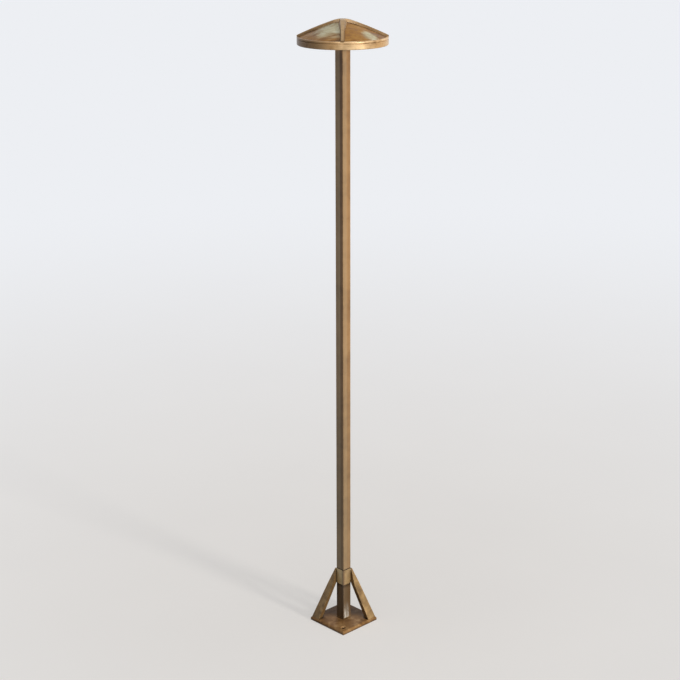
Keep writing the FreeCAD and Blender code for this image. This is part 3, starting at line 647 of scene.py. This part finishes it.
def softened(node, width, finish):
    """A node's solid with its long hard edges rounded over."""
    grid = bmesh.new()
    grid.from_mesh(nodes[node].data)
    bmesh.ops.remove_doubles(grid, verts=grid.verts, dist=WELD)
    bmesh.ops.dissolve_limit(grid, angle_limit=FLAT_ANGLE, verts=grid.verts, edges=grid.edges)
    hard = [edge for edge in grid.edges if edge.is_manifold and edge.calc_face_angle() > HARD_ANGLE]
    bmesh.ops.bevel(
        grid, geom=[edge for edge in hard if edge.calc_length() > LONG_IN_WIDTHS * width], offset=width,
        offset_type="OFFSET", segments=SOFT_STEPS, profile=0.5, affect="EDGES", clamp_overlap=True
    )
    bmesh.ops.triangulate(grid, faces=[face for face in grid.faces if len(face.verts) > 4])
    bmesh.ops.dissolve_degenerate(grid, dist=SLIVER, edges=grid.edges)
    piece = show(shaded(grid, node, SOFT_CREASE), node, finish)
    piece.modifiers.new("normals", "WEIGHTED_NORMAL").keep_sharp = True


def ridge_height(reach):
    """Height of the hat's ridge line at a distance from the axis."""
    if reach < CROWN_SPAN:
        return HAT_TOP - CROWN_R + math.sqrt(CROWN_R ** 2 - reach ** 2)
    slope = math.asin(CROWN_SPAN / CROWN_R)
    shoulder = HAT_TOP - CROWN_R * (1 - math.cos(slope))
    run = HAT_R - CROWN_SPAN
    fall = shoulder - (HAT_TOP - RIDGE_FALL)
    radius = math.hypot(run, fall) / (2 * math.sin(math.atan2(fall, run) - slope))
    across = reach - CROWN_SPAN + radius * math.sin(slope)
    return shoulder - radius * math.cos(slope) + math.sqrt(radius ** 2 - across ** 2)


def panel_rows(corner):
    """Rows of points from the crown out to the rim, each point with its distance from the axis."""
    rows = []
    for step in range(PANEL_STEPS + 1):
        reach = PANEL_START_R + (PANEL_R - PANEL_START_R) * step / PANEL_STEPS
        share = min(reach / RIB_TAPER_R, 1)
        tuck = (RIB_CROWN_FOOT + (RIB_FOOT - RIB_CROWN_FOOT) * share) / 2 - PANEL_TUCK
        first = math.asin(tuck / reach)
        row = []
        for turn in range(PANEL_STEPS + 1):
            angle = first + (math.pi / 2 - 2 * first) * turn / PANEL_STEPS
            row.append((corner[0] * reach * math.cos(angle), corner[1] * reach * math.sin(angle), reach))
        rows.append(row)
    return rows


def panel_skin(grid, rows, drop, depth, seed):
    """One side of a panel: a drop below the ridge line, hollowed by waves of a depth."""
    skin = []
    for row in rows:
        line = []
        for x, y, reach in row:
            swell = 0.5 + 0.5 * noise.noise(Vector((x * WAVE_SCALE, y * WAVE_SCALE, seed)))
            line.append(grid.verts.new((x, y, ridge_height(reach) - drop - depth * max(swell, 0))))
        skin.append(line)
    return skin


def panel_sheet(node, corner, seed, finish):
    """A domed sheet with gentle waves, its straight edges under the ribs and its outer edge in the rim."""
    rows = panel_rows(corner)
    grid = bmesh.new()
    upper = panel_skin(grid, rows, PANEL_DROP, WAVE_DEPTH, seed)
    lower = panel_skin(grid, rows, PANEL_DROP + PANEL_THICK, 0.0, seed)
    last = PANEL_STEPS
    for skin in (upper, lower):
        for i in range(last):
            for j in range(last):
                grid.faces.new((skin[i][j], skin[i][j + 1], skin[i + 1][j + 1], skin[i + 1][j]))
    border = [(0, j) for j in range(last)] + [(i, last) for i in range(last)]
    border += [(last, j) for j in range(last, 0, -1)] + [(i, 0) for i in range(last, 0, -1)]
    for (i, j), (next_i, next_j) in zip(border, border[1:] + border[:1]):
        grid.faces.new((upper[i][j], upper[next_i][next_j], lower[next_i][next_j], lower[i][j]))
    bmesh.ops.recalc_face_normals(grid, faces=grid.faces)
    show(shaded(grid, node, PANEL_CREASE), node, finish)


def dress(made):
    """Give every node its own finish or its slot's, and put the softened and waved pieces in place."""
    finish_of_node = {node: made.get(node) or made[slot] for node, slot in slot_of_node.items()}
    for node, finish in finish_of_node.items():
        mesh = nodes[node].data
        mesh.materials.clear()
        mesh.materials.append(finish)
    for node, width in SOFT_WIDTHS.items():
        softened(node, width, finish_of_node[node])
    for node, look in PANELS.items():
        panel_sheet(node, look["corner"], look["wave_seed"], finish_of_node[node])


# Floor: it glows a little where it is seen, so that it looks pale, and throws less light back
FLOOR_SIZE = 80.0
FLOOR_GAP = 0.0002
FLOOR_NEAR = (colour(202, 198, 194), colour(206, 202, 198))
FLOOR_FAR = colour(221, 222, 225)
FLOOR_FADE = (-0.4, 3.8)
FLOOR_GLOW = 0.425
FLOOR_BOUNCE = (0.2, 0.19, 0.18, 1)

# Sky: the light that it gives, and the shade that it shows
SKY_LIGHT = (0.90, 0.96, 1.0, 1)
SKY_STRENGTH = 0.16
SKY_SHOWN = colour(236, 239, 244)


def seen_directly(tree):
    """1 for camera, mirror and glass rays, 0 for light that bounces."""
    path = tree.nodes.new("ShaderNodeLightPath")
    value = path.outputs["Is Camera Ray"]
    for name in ("Is Glossy Ray", "Is Transmission Ray"):
        either = tree.nodes.new("ShaderNodeMath")
        either.operation = "MAXIMUM"
        tree.links.new(value, either.inputs[0])
        tree.links.new(path.outputs[name], either.inputs[1])
        value = either.outputs["Value"]
    return value


def see_through_below(graph):
    """Clear the back of a surface, so that the floor hides nothing from a camera under it."""
    out = graph.tree.get_output_node("ALL")
    both = graph.node("ShaderNodeMixShader")
    graph.put(both.inputs[0], graph.node("ShaderNodeNewGeometry").outputs["Backfacing"])
    graph.put(both.inputs[1], out.inputs["Surface"].links[0].from_socket)
    graph.put(both.inputs[2], graph.node("ShaderNodeBsdfTransparent").outputs["BSDF"])
    graph.put(out.inputs["Surface"], both.outputs["Shader"])


def floor_finish():
    """Pale, a little uneven and lighter far off."""
    graph = Graph("floor")
    direct = seen_directly(graph.tree)
    near = graph.mix(graph.noise(scale=3, detail=4, roughness=0.5), *FLOOR_NEAR)
    pale = graph.mix(graph.level(graph.away((0, 0, 0)), FLOOR_FADE), near, FLOOR_FAR)
    graph.surface(
        Base_Color=graph.mix(direct, FLOOR_BOUNCE, pale),
        Roughness=0.9,
        Specular_IOR_Level=0.0,
        Emission_Color=pale,
        Emission_Strength=graph.times(direct, FLOOR_GLOW),
    )
    see_through_below(graph)
    return graph.material


def floor():
    """A broad square just under the plate, which keeps the shadow."""
    mesh = bpy.data.meshes.new("floor")
    half = FLOOR_SIZE / 2
    corners = [(x * half, y * half, -FLOOR_GAP) for x, y in ((-1, -1), (1, -1), (1, 1), (-1, 1))]
    mesh.from_pydata(corners, [], [(0, 1, 2, 3)])
    mesh.materials.append(floor_finish())
    made = bpy.data.objects.new("floor", mesh)
    bpy.context.scene.collection.objects.link(made)


def soft_sun(name, turn, rise, spread, strength, tint):
    """Even light from a broad distant source, turned from the front to the right and raised."""
    data = bpy.data.lights.new(name, "SUN")
    data.energy = strength
    data.angle = spread
    data.color = tint
    lamp = bpy.data.objects.new(name, data)
    level = math.cos(rise)
    toward = Vector((level * math.sin(turn), -level * math.cos(turn), math.sin(rise)))
    lamp.location = toward * LAMP_DISTANCE
    lamp.rotation_euler = toward.to_track_quat("Z", "Y").to_euler()
    bpy.context.scene.collection.objects.link(lamp)


def sky():
    """A weak sky that lights the object, shown as a pale one behind it."""
    world = bpy.data.worlds.new("sky")
    bpy.context.scene.world = world
    world.use_nodes = True
    tree = world.node_tree
    tree.nodes.clear()
    soft = tree.nodes.new("ShaderNodeBackground")
    soft.inputs["Color"].default_value = SKY_LIGHT
    soft.inputs["Strength"].default_value = SKY_STRENGTH
    pale = tree.nodes.new("ShaderNodeBackground")
    pale.inputs["Color"].default_value = SKY_SHOWN
    both = tree.nodes.new("ShaderNodeMixShader")
    out = tree.nodes.new("ShaderNodeOutputWorld")
    tree.links.new(seen_directly(tree), both.inputs[0])
    tree.links.new(soft.outputs[0], both.inputs[1])
    tree.links.new(pale.outputs[0], both.inputs[2])
    tree.links.new(both.outputs[0], out.inputs["Surface"])


def studio():
    """The floor, a low soft key light from the right, a softer light from above and the sky."""
    floor()
    soft_sun("key", KEY_TURN, KEY_RISE, KEY_SPREAD, KEY_STRENGTH, KEY_TINT)
    soft_sun("top", TOP_TURN, TOP_RISE, TOP_SPREAD, TOP_STRENGTH, TOP_TINT)
    sky()


def camera():
    """The photograph's viewpoint."""
    data = bpy.data.cameras.new("camera")
    data.lens = CAMERA_LENS
    data.shift_x = CAMERA_SHIFT
    data.clip_end = CAMERA_REACH
    made = bpy.data.objects.new("camera", data)
    made.location = (
        CAMERA_DISTANCE * math.sin(CAMERA_TURN),
        -CAMERA_DISTANCE * math.cos(CAMERA_TURN),
        CAMERA_HEIGHT,
    )
    made.rotation_euler = (math.pi / 2 - CAMERA_PITCH, CAMERA_ROLL, CAMERA_TURN)
    bpy.context.scene.collection.objects.link(made)
    bpy.context.scene.camera = made


dress(finishes())
studio()
camera()
bpy.context.scene.view_settings.view_transform = "Standard"
